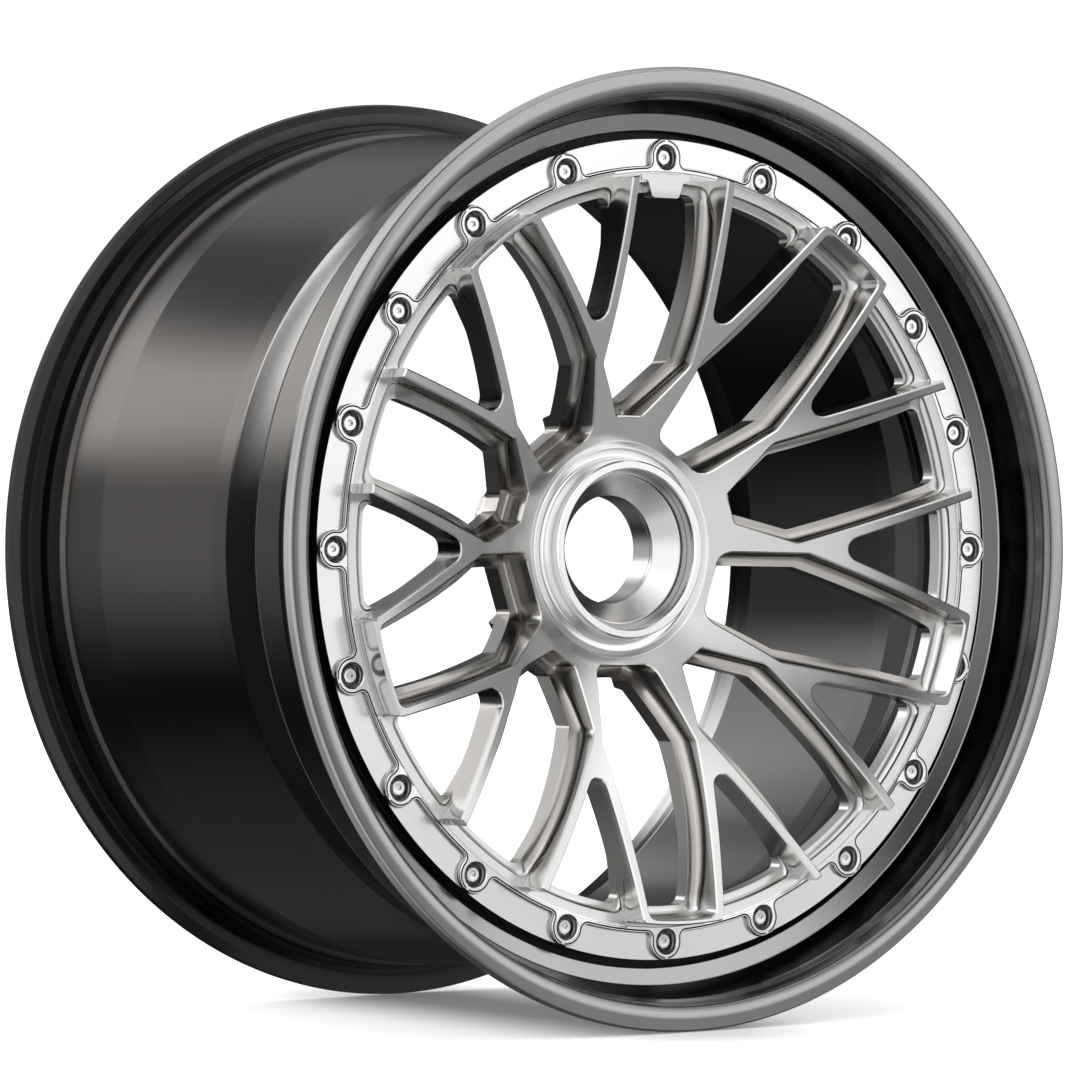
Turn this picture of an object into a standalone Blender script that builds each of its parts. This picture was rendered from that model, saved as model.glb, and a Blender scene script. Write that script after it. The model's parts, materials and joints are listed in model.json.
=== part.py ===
"""Three-piece forged centre-lock racing wheel, 21 x 12J.

The wheel is modelled lying face up and then tilted, so that its axle runs along +Y and its face looks
towards -Y. Radii are measured from the axle. A depth is measured rearwards from the front of the bolt
bosses, and height() turns it into a place on the axle. The origin is midway between the two flanges.
Angles run clockwise from the top as the face is seen.
"""
from math import asin, atan2, cos, pi, radians, sin, tan

import bmesh
import bpy
from mathutils import Matrix, Vector

MM = 0.001
INCH = 25.4

# Driving dimensions, in millimetres unless a name says otherwise.
BEAD_DIAMETER = 21 * INCH
RIM_WIDTH = 12 * INCH
FLANGE_HEIGHT = 17.5
FRONT_FLANGE_THICKNESS = 12.9
REAR_FLANGE_THICKNESS = 11.3
FLANGE_RADIUS = BEAD_DIAMETER / 2 + FLANGE_HEIGHT
SEAT_RADIUS = BEAD_DIAMETER / 2
FRONT_DEPTH = -31.2
REAR_DEPTH = FRONT_DEPTH + FRONT_FLANGE_THICKNESS + RIM_WIDTH + REAR_FLANGE_THICKNESS
CENTRE_DEPTH = (FRONT_DEPTH + REAR_DEPTH) / 2
GAP = 0.3

BOLT_COUNT = 20
BOLT_CIRCLE_RADIUS = 232.7
WINDOW_PAIRS = 5
DRIVE_PIN_CIRCLE_RADIUS = 65.0

RING_INNER_RADIUS = 212.0
RING_OUTER_RADIUS = 243.5
RING_BACK_DEPTH = 15.0
TIP_RADIUS = 222.0
FACE_START_RADIUS = 65.4
BORE_RADIUS = 32.5
HUB_BACK_DEPTH = 80.0
HUB_PAD_RADIUS = 86.0
PLATE_THICKNESS = 6.0
PLATE_INNER_RADIUS = 213.5
LIP_PLATE_DEPTH = RING_BACK_DEPTH + GAP
BARREL_PLATE_DEPTH = LIP_PLATE_DEPTH + PLATE_THICKNESS + GAP

TURN_STEPS = 40
FASTENER_STEPS = 8
SMALL_STEPS = 12
MERGE = 0.00001

VALVE_ANGLE = 184.5
VALVE_DEPTH = 62.0
VALVE_WALL_RADIUS = 254.0
CONE_ANGLE = 13.0


def height(depth):
    """Height above the mid plane, with the wheel face up, of a depth behind the bosses."""
    return (CENTRE_DEPTH - depth) * MM


def face_depth(radius):
    """Depth of the dished front face that the spokes share."""
    step = radius - 143.0
    return 6.0 - 0.4195 * step + 0.001384 * step * step


def ledge_depth(radius):
    """Depth of the machined ledge half way down the walls of the wide windows."""
    step = radius - 125.0
    return 27.5 - 0.6012 * step + 0.003675 * step * step


def back_depth(radius):
    """Depth of the backs of the spokes, which run from the mounting pad out to the ring."""
    step = radius - 125.0
    return max(RING_BACK_DEPTH, 42.0 - 0.64 * step + 0.003165 * step * step)


# ---------------------------------------------------------------- scene and materials

def clear_scene():
    for item in list(bpy.data.objects):
        bpy.data.objects.remove(item, do_unlink=True)


def new_collection(name):
    collection = bpy.data.collections.new(name)
    bpy.context.scene.collection.children.link(collection)
    return collection


def new_material(name, colour, roughness, metallic):
    material = bpy.data.materials.new(name)
    material.use_nodes = True
    shader = material.node_tree.nodes["Principled BSDF"]
    shader.inputs["Base Color"].default_value = (*colour, 1.0)
    shader.inputs["Roughness"].default_value = roughness
    shader.inputs["Metallic"].default_value = metallic
    material.diffuse_color = (*colour, 1.0)
    return material


clear_scene()
PARTS = new_collection("forged_racing_wheel")
CUTTERS = new_collection("cutters")
BRUSHED = new_material("brushed_aluminium", (0.62, 0.61, 0.60), 0.28, 1.0)
LIP_FINISH = new_material("satin_gunmetal", (0.30, 0.29, 0.285), 0.33, 1.0)
BARREL_FINISH = new_material("gloss_gunmetal", (0.085, 0.078, 0.073), 0.25, 1.0)
SEAT_STEEL = new_material("machined_seat", (0.66, 0.65, 0.63), 0.22, 1.0)
FASTENER_STEEL = new_material("plated_steel", (0.75, 0.74, 0.72), 0.18, 1.0)
BUSH_STEEL = new_material("bush_steel", (0.36, 0.35, 0.34), 0.35, 1.0)
SEALANT = new_material("black_sealant", (0.02, 0.02, 0.02), 0.6, 0.0)
BRASS = new_material("nickel_brass", (0.72, 0.66, 0.52), 0.25, 1.0)
CAP_PLASTIC = new_material("cap_plastic", (0.03, 0.03, 0.03), 0.45, 0.0)

WHEEL_AXIS = bpy.data.objects.new("wheel_axis", None)
WHEEL_AXIS.rotation_euler = (radians(90), 0, 0)
PARTS.objects.link(WHEEL_AXIS)


def add_object(name, mesh, collection, material=None, parent=None):
    item = bpy.data.objects.new(name, mesh)
    collection.objects.link(item)
    item.parent = parent or WHEEL_AXIS
    if material and not mesh.materials:
        mesh.materials.append(material)
    if collection is CUTTERS:
        item.hide_render = True
        item.display_type = "WIRE"
    return item


def evaluated_mesh(item, name):
    """The item's mesh with its modifiers applied, with the ends of curves welded shut."""
    bpy.context.view_layer.update()
    graph = bpy.context.evaluated_depsgraph_get()
    mesh = bpy.data.meshes.new_from_object(item.evaluated_get(graph), depsgraph=graph)
    mesh.name = name
    shape = bmesh.new()
    shape.from_mesh(mesh)
    bmesh.ops.remove_doubles(shape, verts=shape.verts, dist=MERGE)
    shape.to_mesh(mesh)
    shape.free()
    return mesh


# ---------------------------------------------------------------- turned shapes and flat outlines

def turned(name, profile, collection, material=None, steps=TURN_STEPS, closed=True, parent=None):
    """Turn a profile of (radius, height) points, in metres, that runs down its outer side."""
    count = len(profile)
    edges = [(index, index + 1) for index in range(count - 1)]
    if closed:
        edges.append((count - 1, 0))
    mesh = bpy.data.meshes.new(name)
    mesh.from_pydata([(radius, 0.0, z) for radius, z in profile], edges, [])
    item = add_object(name, mesh, collection, material, parent)
    screw = item.modifiers.new("turning", "SCREW")
    screw.axis = "Z"
    screw.angle = radians(360)
    screw.steps = steps
    screw.render_steps = steps
    screw.use_merge_vertices = True
    screw.merge_threshold = MERGE
    screw.use_smooth_shade = False
    return item


def by_depth(points):
    """Profile points given as (radius, depth) in millimetres."""
    return [(radius * MM, height(depth)) for radius, depth in points]


def by_millimetre(points):
    return [(radius * MM, z * MM) for radius, z in points]


def rounded_outline(corners, segments=2):
    """Polygon corners as (x, y, radius), with each corner of nonzero radius rounded by an arc."""
    outline = []
    count = len(corners)
    for index, (x, y, radius) in enumerate(corners):
        corner = Vector((x, y))
        if radius == 0:
            outline.append(corner)
            continue
        before = Vector(corners[index - 1][:2]) - corner
        after = Vector(corners[(index + 1) % count][:2]) - corner
        half = before.angle(after) / 2
        centre = corner + (before.normalized() + after.normalized()).normalized() * (radius / sin(half))
        start = corner + before.normalized() * (radius / tan(half)) - centre
        end = corner + after.normalized() * (radius / tan(half)) - centre
        sweep = start.angle_signed(end)
        for step in range(segments + 1):
            outline.append(centre + Matrix.Rotation(-sweep * step / segments, 2) @ start)
    return outline


def inset_corners(corners, distance, radius):
    """Move every edge of an anticlockwise polygon inwards. Rounded corners take the new radius."""
    count = len(corners)
    moved = []
    for index in range(count):
        point = Vector(corners[index][:2])
        before = (point - Vector(corners[index - 1][:2])).normalized()
        after = (Vector(corners[(index + 1) % count][:2]) - point).normalized()
        normal = (before.orthogonal() + after.orthogonal()).normalized()
        shift = normal * (distance / normal.dot(after.orthogonal()))
        moved.append((*(point + shift), radius if corners[index][2] else 0))
    return moved


def on_circle(start, end, radius):
    """The point where the line from start through end leaves the circle."""
    along = (end - start).normalized()
    middle = start.dot(along)
    return start + along * (-middle + (middle * middle + radius * radius - start.length_squared) ** 0.5)


def plan(radius, angle):
    """Plan position of a radius at an angle, clockwise from the top as the face is seen."""
    return Vector((radius * sin(radians(angle)), radius * cos(radians(angle))))


def prism(name, outline, front, back):
    """A cutter with a flat outline in millimetres, between two depths."""
    curve = bpy.data.curves.new(name, "CURVE")
    curve.dimensions = "2D"
    curve.fill_mode = "BOTH"
    curve.extrude = (back - front) / 2 * MM
    spline = curve.splines.new("POLY")
    spline.points.add(len(outline) - 1)
    for point, place in zip(spline.points, outline):
        point.co = (place.x * MM, place.y * MM, 0, 1)
    spline.use_cyclic_u = True
    solid = bpy.data.objects.new(name + "_outline", curve)
    CUTTERS.objects.link(solid)
    solid.location.z = height((front + back) / 2)
    mesh = evaluated_mesh(solid, name)
    mesh.transform(solid.matrix_world)
    bpy.data.objects.remove(solid, do_unlink=True)
    return add_object(name, mesh, CUTTERS)


def spread_around(item, angles):
    """Replace a cutter by one mesh with a copy of it at each angle."""
    mesh = evaluated_mesh(item, item.name)
    shape = bmesh.new()
    for angle in angles:
        copy = mesh.copy()
        copy.transform(Matrix.Rotation(-radians(angle), 4, "Z"))
        shape.from_mesh(copy)
        bpy.data.meshes.remove(copy)
    shape.to_mesh(mesh)
    shape.free()
    item.modifiers.clear()
    item.data = mesh
    return item


def boolean(item, other, operation="DIFFERENCE"):
    modifier = item.modifiers.new(other.name, "BOOLEAN")
    modifier.operation = operation
    modifier.solver = "EXACT"
    modifier.object = other


# ---------------------------------------------------------------- wheel centre

FIRST_FRONT = -60.0
LAST_BACK = 120.0
OPEN_ANGLES = [72.0 * index for index in range(WINDOW_PAIRS)]
CLOSED_ANGLES = [36.0 + angle for angle in OPEN_ANGLES]
LEDGE_WIDTH = 7.5


def symmetric_window(lower, bend, tip, outer_radius, radii):
    """Corners of a wide window, anticlockwise, from half of it: lower corner, bend and outer corner."""
    low, middle, high = radii
    corner = on_circle(Vector(bend), Vector(tip), outer_radius)
    reach = asin(corner.x / outer_radius)
    arc = [(outer_radius * sin(reach * part), outer_radius * cos(reach * part), 0) for part in (0.5, 0, -0.5)]
    right = [(*lower, low), (*bend, middle), (*corner, high)]
    left = [(-x, y, radius) for x, y, radius in reversed(right)]
    return right + arc + left


def open_window(outer_radius, radii):
    return symmetric_window((9.2, 80.2), (32.0, 110.0), (32.0, 219.0), outer_radius, radii)


def closed_window(outer_radius, radii):
    return symmetric_window((20.8, 69.4), (34.5, 115.0), (24.6, 214.0), outer_radius, radii)


def spoke_window(outer_radius):
    """Corners of the window inside a Y spoke, whose steeper leg bounds an open window."""
    open_side = (Vector((-8.0, 150.0)), Vector((-25.1, 200.0)))
    closed_side = (Vector((6.8, 147.0)), Vector((40.0, 218.0)))
    left = on_circle(*open_side, outer_radius)
    right = on_circle(*closed_side, outer_radius)
    start = atan2(right.x, right.y)
    end = atan2(left.x, left.y)
    arc = [start + (end - start) * part for part in (0.25, 0.5, 0.75)]
    outer = [(outer_radius * sin(angle), outer_radius * cos(angle), 0) for angle in arc]
    return [(-1.2, 130.0, 7.5), (*right, 0), *outer, (*left, 0)]


def cut_wide_windows(centre, name, corners, angles, front_outer, front_radii):
    through_corners = inset_corners(corners(RING_INNER_RADIUS + LEDGE_WIDTH, front_radii), LEDGE_WIDTH, 4.0)
    through = prism(name + "_through_cutter", rounded_outline(through_corners), FIRST_FRONT, LAST_BACK)
    pocket_outline = rounded_outline(corners(front_outer, front_radii))
    pocket = prism(name + "_pocket_cutter", pocket_outline, FIRST_FRONT, HUB_BACK_DEPTH)
    boolean(pocket, LEDGE_FORM, "INTERSECT")
    for cutter in (pocket, through):
        boolean(centre, spread_around(cutter, angles))


def cut_spoke_windows(centre):
    """Windows in the Y spokes. Alternate ones are mirror images, and each leaves a ledge on the ring."""
    for side in (1, -1):
        corners = [(x * side, y, radius) for x, y, radius in spoke_window(TIP_RADIUS + GAP)]
        if side < 0:
            corners.reverse()
        cutter = prism("spoke_window_cutter", rounded_outline(corners), FIRST_FRONT, LAST_BACK)
        boolean(cutter, RING_FORM)
        boolean(centre, spread_around(cutter, [angle + side * 18.0 for angle in OPEN_ANGLES]))


def spread_pins(name, profile, radius, angles, steps):
    """Cutters turned from a profile, set on a circle about the axle with a flat side towards it."""
    cutter = turned(name, profile, CUTTERS, steps=steps, closed=False)
    mesh = evaluated_mesh(cutter, name)
    mesh.transform(Matrix.Translation((0, radius * MM, 0)) @ Matrix.Rotation(pi / steps, 4, "Z"))
    cutter.modifiers.clear()
    cutter.data = mesh
    return spread_around(cutter, angles)


def make_forms():
    """Turned forms that stop the window cutters at the ledge and at the ring."""
    ledge = [(radius, ledge_depth(radius)) for radius in (230, 195, 160, 125, 92, 60)]
    ledge_form = turned("ledge_form", by_depth([(60, -70), (230, -70)] + ledge), CUTTERS)
    ring_section = [(RING_INNER_RADIUS, 3.0), (230, 3.0), (230, 130), (RING_INNER_RADIUS, 130)]
    ring_form = turned("ring_form", by_depth(ring_section), CUTTERS)
    return ledge_form, ring_form


def make_centre():
    hub = [
        (BORE_RADIUS, 62.3), (46.5, 62.3), (46.5, 46.6), (49.2, 46.6), (49.2, 44.4), (48.0, 44.4),
        (48.0, 36.4), (53.6, 36.4), (54.4, 48.6), (60.5, 49.6),
    ]
    face = [(radius, face_depth(radius)) for radius in (FACE_START_RADIUS, 95, 130, 175, TIP_RADIUS)]
    ring = [(TIP_RADIUS, 0), (RING_OUTER_RADIUS, 0), (RING_OUTER_RADIUS, RING_BACK_DEPTH)]
    back = [(radius, back_depth(radius)) for radius in (185, 155, 120, 88)]
    pad = [(HUB_PAD_RADIUS, HUB_BACK_DEPTH), (BORE_RADIUS, HUB_BACK_DEPTH)]
    centre = turned("wheel_centre", by_depth(hub + face + ring + back + pad), PARTS, BRUSHED)
    cut_wide_windows(centre, "open_window", open_window, OPEN_ANGLES, TIP_RADIUS + GAP, (3.0, 10.0, 0))
    cut_wide_windows(centre, "closed_window", closed_window, CLOSED_ANGLES, 218.6, (9.0, 10.0, 5.0))
    cut_spoke_windows(centre)
    boolean(centre, BOLT_HOLES)
    bush_profile = by_depth([(0, 59.7), (10.3, 59.7), (10.3, 90), (0, 90)])
    bush_holes = spread_pins("bush_cutter", bush_profile, DRIVE_PIN_CIRCLE_RADIUS, OPEN_ANGLES, SMALL_STEPS)
    boolean(centre, bush_holes)
    pad_outline = [Vector(place) for place in ((-9.5, 208.0), (9.5, 208.0), (13.0, 219.0), (-13.0, 219.0))]
    name_pad = prism("blank_pad", pad_outline, 0.2, 9.0)
    boolean(centre, name_pad, "UNION")
    return centre


# ---------------------------------------------------------------- rim halves

def make_lip():
    front = [
        (PLATE_INNER_RADIUS, LIP_PLATE_DEPTH), (248.6, LIP_PLATE_DEPTH), (248.6, 7.4), (258.6, 3.9),
        (264.9, -14.6), (267.2, -20.5), (269.4, -29.0), (275.3, FRONT_DEPTH),
    ]
    flange = [
        (281.6, -30.0), (FLANGE_RADIUS, -26.6), (FLANGE_RADIUS - 1.2, -22.4),
        (271.0, FRONT_DEPTH + FRONT_FLANGE_THICKNESS), (SEAT_RADIUS, -12.6),
    ]
    seat = [(265.4, 6.0), (262.0, 13.5), (262.0, 38.2)]
    back_depth_of_plate = LIP_PLATE_DEPTH + PLATE_THICKNESS
    skirt = [(258.4, 38.2), (258.4, back_depth_of_plate), (PLATE_INNER_RADIUS, back_depth_of_plate)]
    lip = turned("outer_lip", by_depth(front + flange + seat + skirt), PARTS, LIP_FINISH)
    boolean(lip, BOLT_HOLES)
    return lip


def make_barrel():
    plate_back = BARREL_PLATE_DEPTH + PLATE_THICKNESS
    outside = [
        (PLATE_INNER_RADIUS, BARREL_PLATE_DEPTH), (258.1, BARREL_PLATE_DEPTH), (258.1, 40.3),
        (261.4, 40.3), (250.5, 87.0), (250.4, 96.0), (251.3, 106.0), (260.3, 219.0), (261.4, 260.0),
        (265.8, 266.5), (SEAT_RADIUS, 281.0), (271.0, REAR_DEPTH - REAR_FLANGE_THICKNESS),
    ]
    flange = [
        (FLANGE_RADIUS - 1.6, 290.0), (FLANGE_RADIUS, 292.7), (281.5, 296.5), (275.0, REAR_DEPTH),
        (266.0, 293.1),
    ]
    inside = [
        (260.6, 270.0), (256.0, 258.0), (246.3, 106.0), (245.3, 96.0), (245.6, 86.0), (253.0, 54.0),
        (253.0, 34.0), (247.0, plate_back), (PLATE_INNER_RADIUS, plate_back),
    ]
    barrel = turned("inner_barrel", by_depth(outside + flange + inside), PARTS, BARREL_FINISH)
    boolean(barrel, BOLT_HOLES)
    valve_profile = by_millimetre([(0, 12), (5.65, 12), (5.65, -12), (0, -12)])
    valve_hole = turned("valve_hole_cutter", valve_profile, CUTTERS, None, SMALL_STEPS, False, VALVE_AXIS)
    boolean(barrel, valve_hole)
    return barrel


def make_seal_ring():
    section = [(258.8, 38.5), (261.7, 38.5), (261.7, 40.0), (258.8, 40.0)]
    return turned("rim_seal_ring", by_depth(section), PARTS, SEALANT)


# ---------------------------------------------------------------- hub inserts

def make_seat_insert():
    """Cone that the centre-lock nut pulls against."""
    section = [(BORE_RADIUS, 59.0), (44.3, 46.9), (46.2, 46.9), (46.2, 62.0), (BORE_RADIUS, 62.0)]
    return turned("nut_seat_insert", by_depth(section), PARTS, SEAT_STEEL)


def make_retaining_ring():
    section = [(44.9, 44.7), (48.9, 44.7), (48.9, 46.3), (44.9, 46.3)]
    return turned("seat_retaining_ring", by_depth(section), PARTS, FASTENER_STEEL)


def repeat_on_circle(name, profile, material, radius, angles, steps, closed, digits):
    """Identical turned pieces on a circle, each its own object with the same mesh."""
    template = turned(name + "_template", profile, CUTTERS, material, steps, closed)
    mesh = evaluated_mesh(template, name)
    mesh.transform(Matrix.Rotation(pi / steps, 4, "Z"))
    bpy.data.objects.remove(template, do_unlink=True)
    for number, angle in enumerate(angles, start=1):
        item = add_object(f"{name}_{number:0{digits}d}", mesh, PARTS, material)
        item.location = (*(plan(radius, angle) * MM), 0)
        item.rotation_euler.z = -radians(angle)


def make_bushes():
    profile = by_depth([(7.5, 60.0), (10.0, 60.0), (10.0, 79.5), (7.5, 79.5)])
    repeat_on_circle(
        "drive_pin_bush", profile, BUSH_STEEL, DRIVE_PIN_CIRCLE_RADIUS, OPEN_ANGLES, SMALL_STEPS, True, 1
    )


# ---------------------------------------------------------------- rim bolts and nuts

BOLT_ANGLES = [360.0 / BOLT_COUNT * index for index in range(BOLT_COUNT)]
SHANK_RADIUS = 3.5
COUNTERBORE_RADIUS = 7.3
COUNTERBORE_DEPTH = 9.0
NUT_DEPTH = BARREL_PLATE_DEPTH + PLATE_THICKNESS + GAP
NUT_HEIGHT = 7.0


def make_bolt_holes():
    hole = SHANK_RADIUS + GAP
    counterbore = [(0, -5), (COUNTERBORE_RADIUS, -5), (COUNTERBORE_RADIUS, COUNTERBORE_DEPTH)]
    profile = by_depth(counterbore + [(hole, COUNTERBORE_DEPTH), (hole, 45), (0, 45)])
    return spread_pins("bolt_hole_cutter", profile, BOLT_CIRCLE_RADIUS, BOLT_ANGLES, FASTENER_STEPS)


def make_bolts():
    seat = COUNTERBORE_DEPTH - GAP
    end = NUT_DEPTH + NUT_HEIGHT + 2.0
    head = [(0, 4.0), (5.2, 4.0), (5.2, seat)]
    profile = by_depth(head + [(SHANK_RADIUS, seat), (SHANK_RADIUS, end), (0, end)])
    repeat_on_circle(
        "rim_bolt", profile, FASTENER_STEEL, BOLT_CIRCLE_RADIUS, BOLT_ANGLES, FASTENER_STEPS, False, 2
    )


def make_nuts():
    inner = (SHANK_RADIUS + GAP) / cos(pi / 6)
    back = NUT_DEPTH + NUT_HEIGHT
    profile = by_depth([(inner, NUT_DEPTH), (6.35, NUT_DEPTH), (6.35, back), (inner, back)])
    repeat_on_circle("rim_nut", profile, FASTENER_STEEL, BOLT_CIRCLE_RADIUS, BOLT_ANGLES, 6, True, 2)


# ---------------------------------------------------------------- tyre valve

def make_valve_axis():
    """Empty whose +Z runs inwards along the valve, square to the barrel's conical wall."""
    axis = bpy.data.objects.new("valve_axis", None)
    PARTS.objects.link(axis)
    axis.parent = WHEEL_AXIS
    wall = plan(VALVE_WALL_RADIUS * cos(pi / TURN_STEPS), VALVE_ANGLE) * MM
    axis.location = (*wall, height(VALVE_DEPTH))
    turn = Matrix.Rotation(-radians(VALVE_ANGLE), 4, "Z")
    tilt = Matrix.Rotation(radians(90 - CONE_ANGLE), 4, "X")
    axis.rotation_euler = (turn @ tilt).to_euler()
    return axis


def valve_piece(name, profile, material, steps=SMALL_STEPS, closed=True):
    return turned(name, by_millimetre(profile), PARTS, material, steps, closed, VALVE_AXIS)


def make_valve():
    valve_piece("valve_stem", [
        (2.6, 28.0), (4.0, 28.0), (4.0, 2.5), (5.2, 2.5), (5.2, -4.6), (9.0, -4.6), (9.0, -6.6), (2.6, -6.6),
    ], BRASS)
    valve_piece("valve_seal", [(5.5, -2.9), (8.6, -2.9), (8.6, -4.3), (5.5, -4.3)], SEALANT)
    valve_piece("valve_washer", [(4.3, 4.1), (7.6, 4.1), (7.6, 2.9), (4.3, 2.9)], FASTENER_STEEL)
    nut_bore = 4.3 / cos(pi / 6)
    valve_piece("valve_nut", [(nut_bore, 9.4), (7.5, 9.4), (7.5, 4.4), (nut_bore, 4.4)], BRASS, 6)
    valve_piece("valve_core", [(1.0, 26.0), (2.3, 26.0), (2.3, 15.0), (1.0, 15.0)], BRASS)
    valve_piece("valve_core_pin", [
        (0, 27.4), (0.7, 27.4), (0.7, 14.6), (1.8, 14.6), (1.8, 13.0), (0, 13.0),
    ], BRASS, SMALL_STEPS, False)
    valve_piece("valve_cap", [
        (0, 32.0), (4.6, 32.0), (5.2, 31.2), (5.2, 20.0), (4.3, 20.0), (4.3, 29.5), (0, 29.5),
    ], CAP_PLASTIC, SMALL_STEPS, False)


LEDGE_FORM, RING_FORM = make_forms()
BOLT_HOLES = make_bolt_holes()
VALVE_AXIS = make_valve_axis()
make_centre()
make_lip()
make_barrel()
make_seal_ring()
make_seat_insert()
make_retaining_ring()
make_bushes()
make_bolts()
make_nuts()
make_valve()
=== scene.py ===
"""Looks of a three-piece forged racing wheel: fine meshes, materials, studio light and camera.

Shapes are made in wheel space, in millimetres: x = r sin(angle), y = depth behind the bolt bosses and
z = r cos(angle), with angles clockwise from the top as the face is seen. placed() takes them to the frame.
"""
import json
from math import atan2, ceil, cos, degrees, pi, radians, sin, sqrt, tan

import bmesh
import bpy
from mathutils import Matrix, Vector


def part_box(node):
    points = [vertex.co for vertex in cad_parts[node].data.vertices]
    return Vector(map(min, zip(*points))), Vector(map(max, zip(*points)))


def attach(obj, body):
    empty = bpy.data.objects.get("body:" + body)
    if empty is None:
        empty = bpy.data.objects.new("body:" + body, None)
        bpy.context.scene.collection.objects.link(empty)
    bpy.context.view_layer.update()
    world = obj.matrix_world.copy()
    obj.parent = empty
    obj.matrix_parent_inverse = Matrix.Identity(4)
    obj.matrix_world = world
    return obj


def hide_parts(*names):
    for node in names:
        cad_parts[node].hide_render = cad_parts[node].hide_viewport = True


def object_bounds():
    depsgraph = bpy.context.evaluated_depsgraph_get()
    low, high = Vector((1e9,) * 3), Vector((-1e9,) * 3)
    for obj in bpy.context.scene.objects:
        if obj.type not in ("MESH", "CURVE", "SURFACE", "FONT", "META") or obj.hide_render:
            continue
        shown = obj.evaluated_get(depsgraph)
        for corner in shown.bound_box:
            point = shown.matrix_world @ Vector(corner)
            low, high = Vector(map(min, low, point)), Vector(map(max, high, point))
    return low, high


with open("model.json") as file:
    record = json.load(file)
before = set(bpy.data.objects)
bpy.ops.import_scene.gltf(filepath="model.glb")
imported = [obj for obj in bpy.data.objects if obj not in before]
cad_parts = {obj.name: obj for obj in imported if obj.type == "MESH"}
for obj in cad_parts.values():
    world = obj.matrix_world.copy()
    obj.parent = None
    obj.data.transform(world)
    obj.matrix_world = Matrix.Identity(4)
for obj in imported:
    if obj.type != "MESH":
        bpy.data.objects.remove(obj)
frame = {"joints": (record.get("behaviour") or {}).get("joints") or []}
CAD_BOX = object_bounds()

# ---- sizes, in millimetres

MM = 0.001
HUB_BACK_DEPTH = 80.0
BOSS_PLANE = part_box("wheel_centre")[1].y - HUB_BACK_DEPTH * MM
FLANGE_RADIUS = CAD_BOX[1].x / MM
FRONT_DEPTH = (CAD_BOX[0].y - BOSS_PLANE) / MM
REAR_DEPTH = (CAD_BOX[1].y - BOSS_PLANE) / MM

BOLT_COUNT = 20
BOLT_STEP = 360.0 / BOLT_COUNT
BOLT_CIRCLE_RADIUS = 232.7
BOSS_RADIUS = 11.0
SECTOR_COUNT = 5
HALF_SECTOR = 180.0 / SECTOR_COUNT
DRIVE_PIN_CIRCLE_RADIUS = 65.0

BORE_RADIUS = 32.5
RING_INNER_RADIUS = 212.0
RING_OUTER_RADIUS = 243.5
RING_BACK_DEPTH = 15.0
TIP_RADIUS = 222.0
STRIP_RADIUS = 224.0
SHELF_RADIUS = 218.0
SHELF_DEPTH = 1.1
RING_LEDGE_DEPTH = 5.2
CUTTER_FRONT = -60.0
CUTTER_BACK = 130.0
LEDGE_WIDTH = 8.0
CHAMFER = 0.9

LIP_EDGE_RADIUS = 264.9
LIP_EDGE_DEPTH = -14.6

# A dish is a radius, the depth there, the slope towards the front and the curve.
FACE_DISH = (143.0, 6.0, 0.4195, 0.001384)
LEDGE_DISH = (125.0, 27.5, 0.6012, 0.003875)
BACK_DISH = (125.0, 42.0, 0.64, 0.003165)

FULL_STEPS = 300
WEDGE_STEPS = 30
FINE_STEPS = 48
WELD = 0.002
SHARP_ANGLE = 32.0


def dished(radius, middle, depth, slope, curve):
    step = radius - middle
    return depth - slope * step + curve * step * step


def face_depth(radius):
    """Depth of the dished front face that the spokes share."""
    return dished(radius, *FACE_DISH)


def ledge_depth(radius):
    """Depth of the machined ledge half way down the walls of the wide windows."""
    return dished(radius, *LEDGE_DISH)


def back_depth(radius):
    """Depth of the backs of the spokes, which run from the mounting pad out to the ring."""
    return max(RING_BACK_DEPTH, dished(radius, *BACK_DISH))


def smooth_step(low, high, value):
    part = min(1.0, max(0.0, (value - low) / (high - low)))
    return part * part * (3 - 2 * part)


def mix(first, second, part):
    return first + (second - first) * part


# ---- points and outlines

def plan(radius, angle):
    """Plan position of a radius at an angle in degrees, clockwise from the top."""
    return Vector((radius * sin(radians(angle)), radius * cos(radians(angle))))


def spun(point, angle):
    """A plan position turned anticlockwise by an angle in radians."""
    across = point.x * cos(angle) - point.y * sin(angle)
    return Vector((across, point.x * sin(angle) + point.y * cos(angle)))


def left_of(along):
    return Vector((-along.y, along.x))


def mirrored(outline):
    """An outline's mirror image about the line straight up from the axle, run the other way."""
    return [Vector((-point.x, point.y)) for point in reversed(outline)]


def turn_between(before, after):
    """Angle in radians, positive anticlockwise, between two directions."""
    return atan2(before.cross(after), before.dot(after))


def swept(centre, start, end, steps):
    """Points of an arc about a centre, from one offset from it round to the direction of another."""
    turn = turn_between(start, end)
    return [centre + spun(start, turn * step / steps) for step in range(steps + 1)]


def stretch(start, end, pieces):
    """Points that divide the straight line between two others, without its ends."""
    return [start.lerp(end, index / pieces) for index in range(1, pieces)]


def corner_arc(corner, before, after, radius, steps):
    """Points of a round at a corner, between the direction of travel into it and the one out of it."""
    turn = turn_between(before, after)
    start = corner - before * (radius * tan(abs(turn) / 2))
    side = left_of(before) * (1 if turn > 0 else -1)
    centre = start + side * radius
    return [centre + spun(start - centre, turn * step / steps) for step in range(steps + 1)]


def rim_arc(point, along, outer, radius, steps):
    """Round between a line that runs outwards and a circle about the axle, with the window on the left."""
    left = left_of(along)
    base = point + left * radius
    reach = -base.dot(along) + sqrt(base.dot(along) ** 2 - base.length_squared + (outer - radius) ** 2)
    centre = base + along * reach
    return swept(centre, -left * radius, centre.normalized() * radius, steps)


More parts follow.
